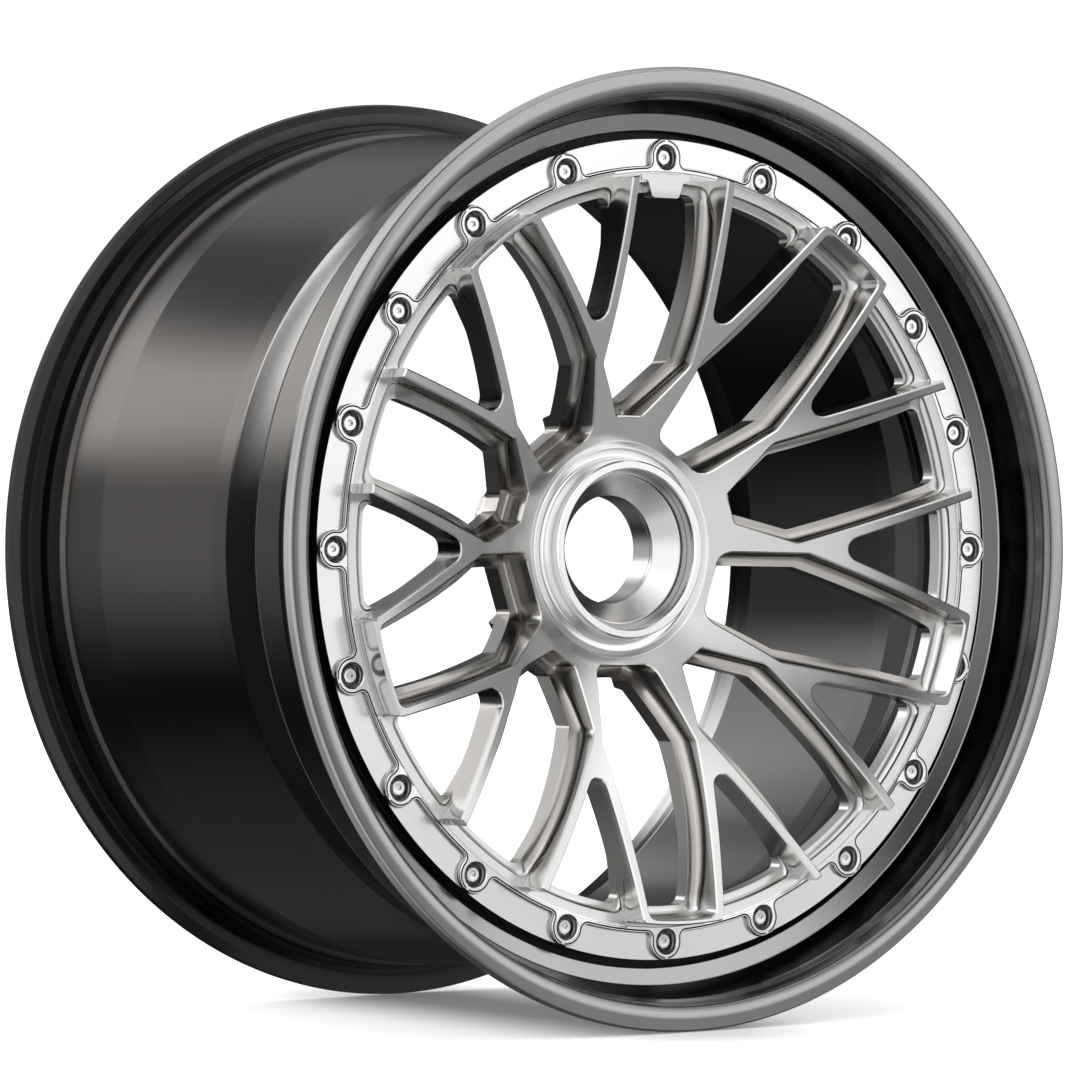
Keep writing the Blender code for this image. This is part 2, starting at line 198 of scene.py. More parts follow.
def circle_stretch(start, end, pieces):
    """Points that divide the arc about the axle between two places, without its ends."""
    first = atan2(start.x, start.y)
    last = atan2(end.x, end.y)
    radius = start.length
    angles = [mix(first, last, index / pieces) for index in range(1, pieces)]
    return [Vector((radius * sin(angle), radius * cos(angle))) for angle in angles]


def crossing(first, second):
    """Where two lines cross, each given as a point and a direction."""
    return first[0] + first[1] * ((second[0] - first[0]).cross(second[1]) / first[1].cross(second[1]))


def moved_left(start, end, distance):
    """The line through two points, moved to its left, as a point and a direction."""
    along = (end - start).normalized()
    return start + left_of(along) * distance, along


def rounded(corners, fineness=12.0):
    """A closed outline of (x, y, radius) corners, with each corner of nonzero radius rounded."""
    places = [Vector(corner[:2]) for corner in corners]
    outline = []
    for index, place in enumerate(places):
        radius = corners[index][2]
        if radius == 0:
            outline.append(place)
            continue
        before = (place - places[index - 1]).normalized()
        after = (places[(index + 1) % len(places)] - place).normalized()
        turn = abs(turn_between(before, after))
        outline += corner_arc(place, before, after, radius, max(2, ceil(degrees(turn) / fineness)))
    return outline


# ---- meshes

def lofted(rings, loft_closed=False):
    """Quads between successive rings of as many points each. The ends are closed by one face each."""
    shape = bmesh.new()
    rows = [[shape.verts.new(point) for point in ring] for ring in rings]
    pairs = list(zip(rows, rows[1:]))
    if loft_closed:
        pairs.append((rows[-1], rows[0]))
    count = len(rows[0])
    for low, high in pairs:
        for index in range(count):
            follow = (index + 1) % count
            shape.faces.new((low[index], low[follow], high[follow], high[index]))
    if not loft_closed:
        shape.faces.new(rows[0])
        shape.faces.new(rows[-1])
    bmesh.ops.remove_doubles(shape, verts=shape.verts, dist=WELD / 10)
    bmesh.ops.recalc_face_normals(shape, faces=shape.faces)
    return shape


def full_turn(steps):
    return [2 * pi * step / steps for step in range(steps)]


def round_point(radius, depth, angle, centre=(0.0, 0.0)):
    """A place at an angle in radians about an axis that is parallel to the axle."""
    return Vector((centre[0] + radius * sin(angle), depth, centre[1] + radius * cos(angle)))


def turned(profile, steps=FULL_STEPS, centre=(0.0, 0.0)):
    """A profile of (radius, depth) points turned about an axis that is parallel to the axle."""
    return lofted([
        [round_point(radius, depth, angle, centre) for radius, depth in profile]
        for angle in full_turn(steps)
    ], loft_closed=True)


def plug(profile, steps=FINE_STEPS, centre=(0.0, 0.0)):
    """A solid round bar, as (radius, depth) levels, whose axis is parallel to the axle."""
    return lofted([
        [round_point(radius, depth, angle, centre) for angle in full_turn(steps)]
        for radius, depth in profile
    ])


def turned_wedge(profile, last_angle, steps):
    """A profile turned about the axle from the top round to an angle in degrees."""
    rings = []
    for step in range(steps + 1):
        angle = radians(last_angle * step / steps)
        rings.append([round_point(radius, depth, angle) for radius, depth in profile])
    return lofted(rings)


def draped(outline, depth):
    """A ring of points over a plan outline. The depth is a number or a function of the radius."""
    if callable(depth):
        return [Vector((point.x, depth(point.length), point.y)) for point in outline]
    return [Vector((point.x, depth, point.y)) for point in outline]


def spun_shape(shape, angle):
    """The shape turned clockwise about the axle by an angle in degrees."""
    shape.transform(Matrix.Rotation(radians(angle), 4, "Y"))
    return shape


def mesh_of(name, shape):
    """A mesh of a shape, which is freed."""
    mesh = bpy.data.meshes.new(name)
    shape.to_mesh(mesh)
    shape.free()
    return mesh


def gathered(shapes):
    """One shape with everything from several, which are freed."""
    whole = bmesh.new()
    for shape in shapes:
        mesh = mesh_of("gathered", shape)
        whole.from_mesh(mesh)
        bpy.data.meshes.remove(mesh)
    return whole


def loose_object(name, shape):
    item = bpy.data.objects.new(name, mesh_of(name, shape))
    bpy.context.scene.collection.objects.link(item)
    return item


def evaluated_mesh(item):
    """A new mesh of an object with its modifiers applied."""
    bpy.context.view_layer.update()
    return bpy.data.meshes.new_from_object(item.evaluated_get(bpy.context.evaluated_depsgraph_get()))


def combined(shape, other, operation="DIFFERENCE"):
    """The exact boolean of two shapes, which are freed."""
    item = loose_object("boolean_base", shape)
    tool = loose_object("boolean_tool", other)
    modifier = item.modifiers.new("cut", "BOOLEAN")
    modifier.operation = operation
    modifier.solver = "EXACT"
    modifier.object = tool
    mesh = evaluated_mesh(item)
    result = bmesh.new()
    result.from_mesh(mesh)
    bpy.data.meshes.remove(mesh)
    for used in (item, tool):
        old = used.data
        bpy.data.objects.remove(used)
        bpy.data.meshes.remove(old)
    return result


def placed(shape):
    """Takes a shape from wheel space to the frame, in metres."""
    shape.transform(Matrix.Translation((0, BOSS_PLANE, 0)) @ Matrix.Scale(MM, 4))
    return shape


def even_shading(item):
    """Keeps large flat faces flat in the smooth shading, by weighting the normals by face area."""
    modifier = item.modifiers.new("even", "WEIGHTED_NORMAL")
    modifier.keep_sharp = True
    old = item.data
    item.data = evaluated_mesh(item)
    item.modifiers.clear()
    bpy.data.meshes.remove(old)


def new_piece(name, shape, material, nodes, body="wheel"):
    """A finished piece from a shape in metres. It rides on a body and stands for CAD nodes."""
    item = loose_object(name, shape)
    item.data.shade_smooth()
    item.data.set_sharp_from_angle(angle=radians(SHARP_ANGLE))
    even_shading(item)
    item.data.materials.append(material)
    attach(item, body)
    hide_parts(*nodes)
    return item


# ---- node helpers

class Nodes:
    """Short calls for building a node tree."""

    def __init__(self, tree):
        self.tree = tree

    def add(self, kind, **values):
        """A new shader node. A value whose name starts with in_ is for the input of that name."""
        node = self.tree.nodes.new("ShaderNode" + kind)
        for name, value in values.items():
            if name.startswith("in_"):
                node.inputs[name[3:]].default_value = value
            else:
                setattr(node, name, value)
        return node

    def link(self, source, target):
        self.tree.links.new(source, target)

    def feed(self, sockets, values):
        """Gives each socket a link from another one, a number or a colour."""
        for socket, value in zip(sockets, values):
            if isinstance(value, bpy.types.NodeSocket):
                self.link(value, socket)
            else:
                socket.default_value = (*value, 1.0) if isinstance(value, (tuple, list)) else value

    def math(self, operation, *values):
        node = self.add("Math", operation=operation)
        self.feed(node.inputs, values)
        return node.outputs[0]

    def ramp(self, value, low, high, start=0.0, end=1.0, smooth=False):
        node = self.add("MapRange", interpolation_type="SMOOTHSTEP" if smooth else "LINEAR")
        self.feed(node.inputs, (value, low, high, start, end))
        return node.outputs["Result"]

    def plus(self, first, second):
        return self.math("ADD", first, second)

    def minus(self, first, second):
        return self.math("SUBTRACT", first, second)

    def times(self, first, second):
        return self.math("MULTIPLY", first, second)

    def length(self, first, second):
        return self.math("SQRT", self.plus(self.times(first, first), self.times(second, second)))

    def above(self, value, edge, blur):
        """1 over an edge and 0 under it, with a soft step."""
        return self.ramp(value, edge - blur, edge + blur, smooth=True)

    def below(self, value, edge, blur):
        return self.ramp(value, edge - blur, edge + blur, 1.0, 0.0, smooth=True)

    def between(self, value, low, high, blur):
        return self.times(self.above(value, low, blur), self.below(value, high, blur))

    def noise(self, vector, scale, detail, roughness):
        node = self.add("TexNoise", in_Scale=scale, in_Detail=detail, in_Roughness=roughness)
        self.link(vector, node.inputs["Vector"])
        return node.outputs["Fac"]

    def joined(self, x, y, z):
        node = self.add("CombineXYZ")
        self.feed(node.inputs, (x, y, z))
        return node.outputs[0]

    def place(self, kind):
        return self.add("TexCoord").outputs[kind]

    def parted(self, vector):
        """The three parts of a vector."""
        node = self.add("SeparateXYZ")
        self.link(vector, node.inputs[0])
        return node.outputs

    def mixed(self, part, first, second):
        """Blend of two colours, each a socket or three numbers."""
        node = self.add("Mix", data_type="RGBA")
        self.feed([node.inputs[name] for name in ("Factor", "A", "B")], (part, first, second))
        return node.outputs["Result"]


def new_material(name):
    material = bpy.data.materials.new(name)
    material.use_nodes = True
    nodes = Nodes(material.node_tree)
    shader = material.node_tree.nodes["Principled BSDF"]
    return material, nodes, shader


def axial_places(nodes):
    """Object position, depth, and the radius and angle about the axle, which is the object's Y axis."""
    place = nodes.place("Object")
    x, y, z = nodes.parted(place)
    return place, y, nodes.length(x, z), nodes.math("ARCTAN2", x, z)


# ---- materials

CLOUD_SCALE = 9.0
GRAIN_SCALE = 1600.0
LINE_SCALE = 1500.0
LINE_DRIFT = 0.0008
NOISE_RANGE = (0.3, 0.7)
STAIN = 0.04

# Painted shade for the walls of the windows.
WINDOW_WALL_PAINTED_SHADE = (0.42, 0.405, 0.39)
BRIGHT_SHADE = (0.88, 0.875, 0.87)
# Painted shadow for the grooves, recesses and counterbores of the ring.
RECESS_PAINTED_SHADOW = (0.34, 0.34, 0.34)
SHOULDER_SHADE = (0.2, 0.197, 0.194)
LIP_WALL_SHADE = (0.115, 0.108, 0.102)
# Black for the lip's inner wall, and painted shadow for the gap behind the ring.
WALL_BLACK_AND_GAP_SHADOW = (0.012, 0.012, 0.012)
# Painted shade for the inside of the barrel.
BARREL_INSIDE_PAINTED_SHADE = (0.058, 0.056, 0.054)
BEAD_SEAT_SHADE = (0.014, 0.013, 0.013)
REAR_FLANGE_SHADE = (0.05, 0.047, 0.045)


def scaled(colour, factor):
    return [value * factor for value in colour]


def dress(nodes, shader, shade, height):
    """Gives a shader its colour, and a bump from a height in millimetres."""
    nodes.link(shade, shader.inputs["Base Color"])
    bump = nodes.add("Bump", in_Strength=1.0, in_Distance=MM)
    nodes.link(height, bump.inputs["Height"])
    nodes.link(bump.outputs["Normal"], shader.inputs["Normal"])


def metal(name, colour, roughness, spread, turning=0.0, grain=0.0, paint=None):
    """Metal with uneven roughness, lathe marks about the axle, a fine grain and a little staining.

    A paint is a function that takes the node helpers, the depth and radius in wheel space and the colour
    so far, and returns the colour to use.
    """
    material, nodes, shader = new_material(name)
    place, depth, radius, angle = axial_places(nodes)
    clouds = nodes.noise(place, CLOUD_SCALE, 3.0, 0.55)
    fine = nodes.noise(place, GRAIN_SCALE, 2.0, 0.5)

    def swing(noise):
        return nodes.ramp(noise, *NOISE_RANGE, -spread, spread)

    uneven = nodes.plus(swing(clouds), swing(fine))
    height = nodes.times(fine, grain)
    if turning:
        turned_place = nodes.joined(radius, depth, nodes.times(angle, LINE_DRIFT))
        lines = nodes.noise(turned_place, LINE_SCALE, 2.0, 0.6)
        uneven = nodes.plus(uneven, swing(lines))
        height = nodes.plus(height, nodes.times(lines, turning))
    nodes.link(nodes.plus(uneven, roughness), shader.inputs["Roughness"])
    stain = nodes.ramp(nodes.plus(clouds, nodes.times(fine, 0.3)), 0.45, 0.85)
    shade = nodes.mixed(stain, scaled(colour, 1 - STAIN), scaled(colour, 1 + STAIN))
    if paint is not None:
        depth = nodes.times(nodes.minus(depth, BOSS_PLANE), 1 / MM)
        shade = paint(nodes, depth, nodes.times(radius, 1 / MM), shade)
    dress(nodes, shader, shade, height)
    shader.inputs["Metallic"].default_value = 1.0
    return material


def centre_paint(nodes, depth, radius, shade):
    """Bright machining on the ring and in the hub, painted shadow in the grooves, recesses and
    counterbores, and satin spoke faces.

    The walls of the windows carry a painted shade, darker than the faces that they drop away from.
    """
    middle, middle_depth, slope, curve = FACE_DISH
    step = nodes.minus(radius, middle)
    face = nodes.minus(nodes.times(nodes.times(step, step), curve), nodes.times(step, slope))
    face = nodes.plus(face, middle_depth)
    drop = nodes.minus(depth, face)
    # Painted shade on the walls of the windows, growing over the first millimetres that they drop behind
    # the face.
    walls = nodes.times(nodes.ramp(radius, 68.0, 70.0), nodes.ramp(drop, 1.6, 7.0, smooth=True))
    walls = nodes.times(walls, nodes.ramp(radius, 206.0, 214.0, 1.0, 0.0))
    shade = nodes.mixed(walls, shade, WINDOW_WALL_PAINTED_SHADE)
    strip = nodes.above(radius, 223.5, 0.3)
    hub = nodes.times(nodes.below(radius, 65.6, 0.4), nodes.below(depth, 53.0, 1.0))
    shade = nodes.mixed(nodes.math("MAXIMUM", strip, hub), shade, BRIGHT_SHADE)
    # Painted shadow in the grooves, on the recess walls and in the counterbores of the ring.
    blur = 0.1
    recesses = nodes.between(depth, 0.25, 2.5, blur)
    bores = nodes.between(depth, 3.5, 14.0, blur)
    ring = nodes.between(radius, STRIP_RADIUS + 0.6, RING_OUTER_RADIUS - 0.4, blur)
    return nodes.mixed(nodes.times(ring, nodes.math("MAXIMUM", recesses, bores)), shade, RECESS_PAINTED_SHADOW)


def lip_paint(nodes, depth, radius, shade):
    """Light satin on the rolled flange and the cone behind it, black between them, and painted shadow in
    the gap.

    The inner shoulder of the flange is darker.
    """
    blur = 0.3
    flange = nodes.below(depth, LIP_EDGE_DEPTH - 1.0, blur)
    cone = nodes.minus(nodes.below(depth, 8.2, blur), nodes.below(depth, 3.0, blur))
    cone = nodes.times(nodes.below(radius, 259.0, 0.2), cone)
    wall = nodes.times(nodes.below(radius, LIP_EDGE_RADIUS + 0.25, 0.1), nodes.below(depth, 3.2, blur))
    # Painted shadow in the deep gap between the ring and the lip.
    gap = nodes.times(nodes.below(radius, 249.0, blur), nodes.ramp(depth, 7.9, 8.4))
    dark = nodes.minus(nodes.math("MAXIMUM", wall, gap), flange)
    shoulder = nodes.times(nodes.below(radius, 271.6, 1.6), nodes.ramp(radius, 259.5, 260.5))
    shade = nodes.mixed(nodes.times(shoulder, flange), shade, SHOULDER_SHADE)
    shade = nodes.mixed(nodes.math("MAXIMUM", flange, cone), LIP_WALL_SHADE, shade)
    return nodes.mixed(nodes.math("MAXIMUM", dark, 0.0), shade, WALL_BLACK_AND_GAP_SHADOW)


def barrel_paint(nodes, depth, radius, shade):
    """Gunmetal outside, painted shade inside, a darker colour on the rear flange, black gloss on the rear
    bead seat.

    The inside is what lies nearer the axle than the middle of the wall.
    """
    # Painted shade on the inside of the barrel, the part nearer the axle than the middle of the wall.
    middle = nodes.ramp(depth, 54.0, 90.0, 256.0, 248.0)
    middle = nodes.plus(middle, nodes.ramp(depth, 100.0, 256.0, 0.0, 10.6))
    middle = nodes.plus(middle, nodes.ramp(depth, 256.0, 286.0, 0.0, 9.2))
    shade = nodes.mixed(nodes.math("LESS_THAN", radius, middle), shade, BARREL_INSIDE_PAINTED_SHADE)
    outside = nodes.ramp(radius, 263.0, 263.4)
    seat = nodes.above(depth, 262.7, 0.5)
    shade = nodes.mixed(nodes.times(outside, seat), shade, BEAD_SEAT_SHADE)
    flange = nodes.above(depth, 286.5, 0.5)
    return nodes.mixed(nodes.times(outside, flange), shade, REAR_FLANGE_SHADE)


def dull(name, colour, roughness, grain):
    """Rubber, sealant or moulded plastic."""
    material, nodes, shader = new_material(name)
    place = nodes.place("Object")
    fine = nodes.noise(place, 1400.0, 3.0, 0.6)
    clouds = nodes.noise(place, 60.0, 2.0, 0.5)
    uneven = nodes.ramp(clouds, *NOISE_RANGE, roughness - 0.08, roughness + 0.08)
    nodes.link(uneven, shader.inputs["Roughness"])
    shade = nodes.mixed(nodes.ramp(fine, *NOISE_RANGE), scaled(colour, 0.8), scaled(colour, 1.3))
    dress(nodes, shader, shade, nodes.times(fine, grain))
    return material


CENTRE_METAL = metal("clear_coated_aluminium", (0.67, 0.665, 0.655), 0.22, 0.02, grain=0.0015,
                     paint=centre_paint)
LIP_METAL = metal("satin_and_gloss_grey_with_painted_shadow", (0.40, 0.395, 0.39), 0.2, 0.012, turning=0.0006, paint=lip_paint)
BARREL_METAL = metal("gloss_gunmetal", (0.103, 0.096, 0.091), 0.16, 0.012, turning=0.0006,
                     paint=barrel_paint)
SEAT_METAL = metal("ground_seat_steel", (0.66, 0.65, 0.64), 0.22, 0.03, turning=0.003)
CHROME = metal("plated_steel", (0.85, 0.84, 0.83), 0.12, 0.02, grain=0.001)
NUT_METAL = metal("zinc_nut_steel", (0.60, 0.60, 0.60), 0.24, 0.03, grain=0.002)
SPRING_METAL = metal("spring_steel", (0.42, 0.41, 0.40), 0.28, 0.03, grain=0.002)
BUSH_METAL = metal("bush_steel", (0.38, 0.37, 0.36), 0.32, 0.03, grain=0.002)
NICKEL = metal("nickel_brass", (0.70, 0.65, 0.54), 0.22, 0.03, grain=0.002)
WASHER_METAL = metal("washer_steel", (0.55, 0.55, 0.55), 0.28, 0.03, grain=0.002)
SEALANT = dull("black_sealant", (0.02, 0.02, 0.02), 0.55, 0.02)
RUBBER = dull("black_rubber", (0.025, 0.025, 0.025), 0.6, 0.02)
CAP_PLASTIC = dull("moulded_plastic", (0.03, 0.03, 0.03), 0.42, 0.01)


# ---- window cutters

BEND_STEPS = 5
CORNER_STEPS = 6
SHORT_PIECES = 5
LONG_PIECES = 14
ARC_PIECES = 8
FILLET_STEPS = 7
RING_BLEND = (199.0, 211.0)
OVERCUT = 0.7
POCKET_ROUND = 6.0
BACK_FLARE = 1.6
SHELF_RIM = TIP_RADIUS + CHAMFER


def wide_outline(points, inset, outer, radii, outer_round):
    """Closed outline of a wide window that is symmetric about the line straight up from the axle."""
    lower, bend, tip = points
    floor = (Vector((0.0, lower.y + inset)), Vector((1.0, 0.0)))
    first = moved_left(lower, bend, inset)
    second = moved_left(bend, tip, inset)
    low_corner = corner_arc(crossing(floor, first), floor[1], first[1], radii[0], BEND_STEPS)
    high_corner = corner_arc(crossing(first, second), first[1], second[1], radii[1], BEND_STEPS)
    outer_corner = rim_arc(second[0], second[1], outer, outer_round, CORNER_STEPS)
    right = low_corner + stretch(low_corner[-1], high_corner[0], SHORT_PIECES) + high_corner
    right += stretch(high_corner[-1], outer_corner[0], LONG_PIECES) + outer_corner
    right += circle_stretch(outer_corner[-1], Vector((0.0, outer)), ARC_PIECES)
    return right + [Vector((0.0, outer))] + mirrored(right)


def fillet_levels():
    """Shares of the ledge's width and depth along the round that a ball-nosed tool leaves."""
    angles = [pi / 2 * step / FILLET_STEPS for step in range(FILLET_STEPS + 1)]
    return [(1 - cos(angle), sin(angle)) for angle in angles]


def near_ring(radius):
    return smooth_step(*RING_BLEND, radius)


def blended(spoke_depth, ring_depth):
    """A depth that follows one function of the radius along the spokes and is a number at the ring."""
    return lambda radius: mix(spoke_depth(radius), ring_depth, near_ring(radius))


def mouth(top, front):
    """Rings of a cutter from above the face down to the foot of the chamfer along the face's edge."""
    return [
        draped(top, CUTTER_FRONT),
        draped(top, lambda radius: face_depth(radius) - OVERCUT),
        draped(front, lambda radius: face_depth(radius) + CHAMFER),
    ]


def way_out(through, flared):
    """Rings of a cutter down to the backs of the spokes, flaring as it leaves them."""
    return [
        draped(through, lambda radius: back_depth(radius) - 1.0),
        draped(flared, lambda radius: back_depth(radius) + 0.6),
        draped(flared, CUTTER_BACK),
    ]


def wide_cutter(points, radii, outer, outer_round, shelf):
    """Cutter of a wide window, from above the face down past the ledge and out at the back.

    With a shelf, the window runs out over the step inside the ring before its pocket starts.
    """
    def outline_at(inset, rim, rounding):
        part = max(0.0, inset / LEDGE_WIDTH)
        corner_radii = [mix(radius, 4.0, part) - min(0.0, inset) for radius in radii]
        return wide_outline(points, inset, rim, corner_radii, rounding)

    def fillet_top(radius):
        return ledge_depth(radius) - LEDGE_WIDTH

    def wall_middle(radius):
        return mix(face_depth(radius) + CHAMFER, fillet_top(radius), 0.5)

    over = CHAMFER + OVERCUT
    wide = outer if shelf else outer + over
    wide_round = outer_round if shelf else outer_round + over
    top = outline_at(-over, wide, wide_round)
    front = outline_at(0.0, outer, outer_round)
    rings = mouth(top, front)
    if shelf:
        pocket_radius, pocket_top, pocket_round = SHELF_RADIUS, SHELF_DEPTH + 0.3, 7.0
        rings.append(draped(front, blended(wall_middle, SHELF_DEPTH)))
        rings.append(draped(
            outline_at(0.0, pocket_radius, pocket_round),
            blended(lambda radius: mix(wall_middle(radius), fillet_top(radius), 0.6), pocket_top),
        ))
    else:
        pocket_radius, pocket_top, pocket_round = outer, RING_LEDGE_DEPTH - 7.2, outer_round
        rings.append(draped(front, blended(wall_middle, pocket_top - 8.0)))
    for across, down in fillet_levels():
        rim = mix(pocket_radius - 0.2, RING_INNER_RADIUS, across)
        outline = outline_at(LEDGE_WIDTH * across, rim, mix(pocket_round, POCKET_ROUND, across))
        spoke = lambda radius, down=down: fillet_top(radius) + LEDGE_WIDTH * down
        rings.append(draped(outline, blended(spoke, mix(pocket_top + 0.3, RING_LEDGE_DEPTH, down))))
    through = outline_at(LEDGE_WIDTH, RING_INNER_RADIUS, POCKET_ROUND)
    flared = outline_at(LEDGE_WIDTH - BACK_FLARE, RING_INNER_RADIUS + BACK_FLARE, POCKET_ROUND + BACK_FLARE)
    return lofted(rings + way_out(through, flared))


OPEN_POINTS = (Vector((9.2, 80.2)), Vector((32.0, 110.0)), Vector((32.0, 219.0)))
CLOSED_POINTS = (Vector((20.8, 69.4)), Vector((34.5, 115.0)), Vector((24.6, 214.0)))
OPEN_SIDE = (Vector((-8.0, 150.0)), Vector((-25.1, 200.0)))
CLOSED_SIDE = (Vector((6.8, 147.0)), Vector((40.0, 218.0)))
CREST_ROUND = 4.0
FLARE_RADIUS = 227.0


def spoke_outline(inset, outer, outer_round, flare=False):
    """Closed outline of the window inside a Y spoke, anticlockwise from its vertex.

    With a flare, the outline curves away over the end of the leg, which rounds the corner of the leg's tip.
    """
    down = moved_left(OPEN_SIDE[1], OPEN_SIDE[0], inset)
    up = moved_left(*CLOSED_SIDE, inset)
    vertex = corner_arc(crossing(down, up), down[1], up[1], 7.5 - inset, 8)
    open_corner = mirrored(mirrored_rim_arc(down, outer, outer_round))
    if flare:
        tip = crossing_circle(up, TIP_RADIUS + 0.25 - inset)
        tangent = Vector((tip.y, -tip.x)).normalized()
        closed_corner = corner_arc(tip, up[1], tangent, CREST_ROUND, CORNER_STEPS)
        beyond = closed_corner[-1] + tangent * 1.5
        start = beyond.normalized() * outer
    else:
        closed_corner = rim_arc(up[0], up[1], outer, outer_round, CORNER_STEPS)
        start = closed_corner[-1]
    outline = vertex + stretch(vertex[-1], closed_corner[0], LONG_PIECES) + closed_corner
    outline += circle_stretch(start, open_corner[0], 2 * ARC_PIECES) + open_corner
    outline += stretch(open_corner[-1], vertex[0], LONG_PIECES)
    return outline


def mirrored_rim_arc(down, outer, rounding):
    """rim_arc for a line that runs inwards on the left, seen as the mirror image of one on the right."""
    point = Vector((-down[0].x, down[0].y))
    along = Vector((down[1].x, -down[1].y))
    return rim_arc(point, along, outer, rounding, CORNER_STEPS)


def crossing_circle(line, radius):
    """Where a line that runs outwards crosses a circle about the axle."""
    point, along = line
    middle = point.dot(along)
    return point + along * (-middle + sqrt(middle * middle - point.length_squared + radius * radius))


def spoke_cutter():
    """Cutter of the window inside a Y spoke: straight walls, and a stepped edge along the ring."""
    def wall(part):
        return lambda radius: mix(face_depth(radius) + CHAMFER, back_depth(radius) - 1.0, part)

    top = spoke_outline(-CHAMFER - OVERCUT, FLARE_RADIUS, 0.3, True)
    front = spoke_outline(0.0, FLARE_RADIUS, 0.3, True)
    rings = mouth(top, front) + [
        draped(front, blended(wall(0.2), -0.6)),
        draped(spoke_outline(0.0, SHELF_RIM, 0.3), blended(wall(0.3), SHELF_DEPTH)),
        draped(spoke_outline(0.0, SHELF_RADIUS, POCKET_ROUND), blended(wall(0.4), SHELF_DEPTH + 0.3)),
    ]
    for across, down in fillet_levels():
        outline = spoke_outline(0.0, mix(SHELF_RADIUS - 0.2, RING_INNER_RADIUS, across), POCKET_ROUND)
        ring_depth = mix(SHELF_DEPTH + 0.6, RING_LEDGE_DEPTH, down)
        rings.append(draped(outline, blended(wall(0.5 + 0.3 * down), ring_depth)))
    through = spoke_outline(0.0, RING_INNER_RADIUS, POCKET_ROUND)
    flared = spoke_outline(-BACK_FLARE, RING_INNER_RADIUS + BACK_FLARE, POCKET_ROUND + BACK_FLARE)
    return lofted(rings + way_out(through, flared))


# ---- wheel centre

def recess_cutters():
    """Shallow recess between two bolt bosses, open at the ring's rim, and the groove along its edge."""
    boss = plan(BOLT_CIRCLE_RADIUS, BOLT_STEP / 2)
    floor_radius = 227.3
    corner = 3.5

    def outline_at(grow):
        boss_radius = BOSS_RADIUS + grow
        corner_radius = corner - grow
        ring = floor_radius + grow
        fillet_height = floor_radius + corner
        gap = BOSS_RADIUS + corner
        sides = fillet_height ** 2 + BOLT_CIRCLE_RADIUS ** 2 - gap ** 2
        spread = sides / (2 * fillet_height * BOLT_CIRCLE_RADIUS)
        angle = BOLT_STEP / 2 - degrees(atan2(sqrt(1 - spread * spread), spread))
        centre = plan(fillet_height, angle)
        towards = (boss - centre).normalized()
        low = centre.normalized() * ring
        right = swept(centre, low - centre, towards * corner_radius, 6)
        along = -towards
        limit = turn_between(along, boss.normalized()) * 0.93
        right += [boss + spun(along * boss_radius, limit * step / 8) for step in range(1, 9)]
        right.append(right[-1].normalized() * (RING_OUTER_RADIUS + 8.0))
        bottom = circle_stretch(Vector((-low.x, low.y)), low, 10)
        left = mirrored(right)
        return bottom + right + circle_stretch(right[-1], left[0], 8) + left

    pocket = [(-0.6, -8.0), (-0.6, -0.4), (0.0, 0.3), (0.0, 2.2), (0.35, 2.78), (1.0, 3.05)]
    groove = [(-1.75, -1.0), (-1.65, 0.1), (-1.15, 2.3), (-0.75, 0.1), (-0.65, -1.0)]
    return [
        lofted([draped(outline_at(grow), depth) for grow, depth in pocket]),
        lofted([draped(outline_at(grow), depth) for grow, depth in groove], loft_closed=True),
    ]


def bolt_hole_cutter(angle):
    """Counterbore with a chamfered mouth, and the bolt's hole through its floor."""
    profile = [(8.4, -6), (8.4, -0.5), (7.3, 0.6), (7.3, 8.6), (6.9, 9.0), (3.8, 9.0), (3.8, 60)]
    return plug(profile, centre=plan(BOLT_CIRCLE_RADIUS, angle))


def bush_hole_cutter():
    """Blind hole in the mounting pad, with a chamfered mouth, for a drive-pin bush."""
    profile = [(10.3, 59.7), (10.3, 79.3), (11.2, 80.2), (11.2, 95)]
    return plug(profile, centre=plan(DRIVE_PIN_CIRCLE_RADIUS, 0.0))


def dish_points(depth_at, first, step, count):
    """Profile points at even steps of the radius along one of the dishes."""
    radii = [first + step * index for index in range(count)]
    return [(radius, depth_at(radius), 0) for radius in radii]


def centre_profile():
    """Half section of the turned blank: hub, face, ring and back, as (radius, depth) points."""
    corners = [
        (BORE_RADIUS, 79.0, 0), (BORE_RADIUS, 62.3, 0), (46.5, 62.3, 0), (46.5, 46.6, 0), (49.2, 46.6, 0),
        (49.2, 44.4, 0), (48.0, 44.4, 0), (48.0, 37.3, 0), (48.9, 36.4, 0), (52.6, 36.4, 0.4),
        (53.6, 37.4, 0.4), (54.6, 50.6, 3.2), (61.4, 50.4, 4.0), (64.9, face_depth(64.9) - 0.1, 2.2),
    ]
    corners += dish_points(face_depth, 68.5, 4.5, 34)
    tip = face_depth(TIP_RADIUS)
    corners += [
        (TIP_RADIUS - CHAMFER, tip + 0.1, 0), (TIP_RADIUS, tip + CHAMFER + 0.1, 0),
        (TIP_RADIUS, 0.9, 0.6), (STRIP_RADIUS - 0.2, 0.9, 0.2), (STRIP_RADIUS, 0.2, 0),
        (STRIP_RADIUS + 0.25, 0.0, 0),
        (RING_OUTER_RADIUS - 0.5, 0.0, 0), (RING_OUTER_RADIUS, 0.5, 0),
        (RING_OUTER_RADIUS, RING_BACK_DEPTH - 0.5, 0), (RING_OUTER_RADIUS - 0.5, RING_BACK_DEPTH, 0),
    ]
    corners += dish_points(back_depth, 185.0, -6.0, 17)
    corners += [(87.4, 73.0, 2.0), (86.2, 79.0, 0), (85.2, HUB_BACK_DEPTH, 0)]
    corners += [(BORE_RADIUS + 1.0, HUB_BACK_DEPTH, 0)]
    return [(point.x, point.y) for point in rounded(corners)]


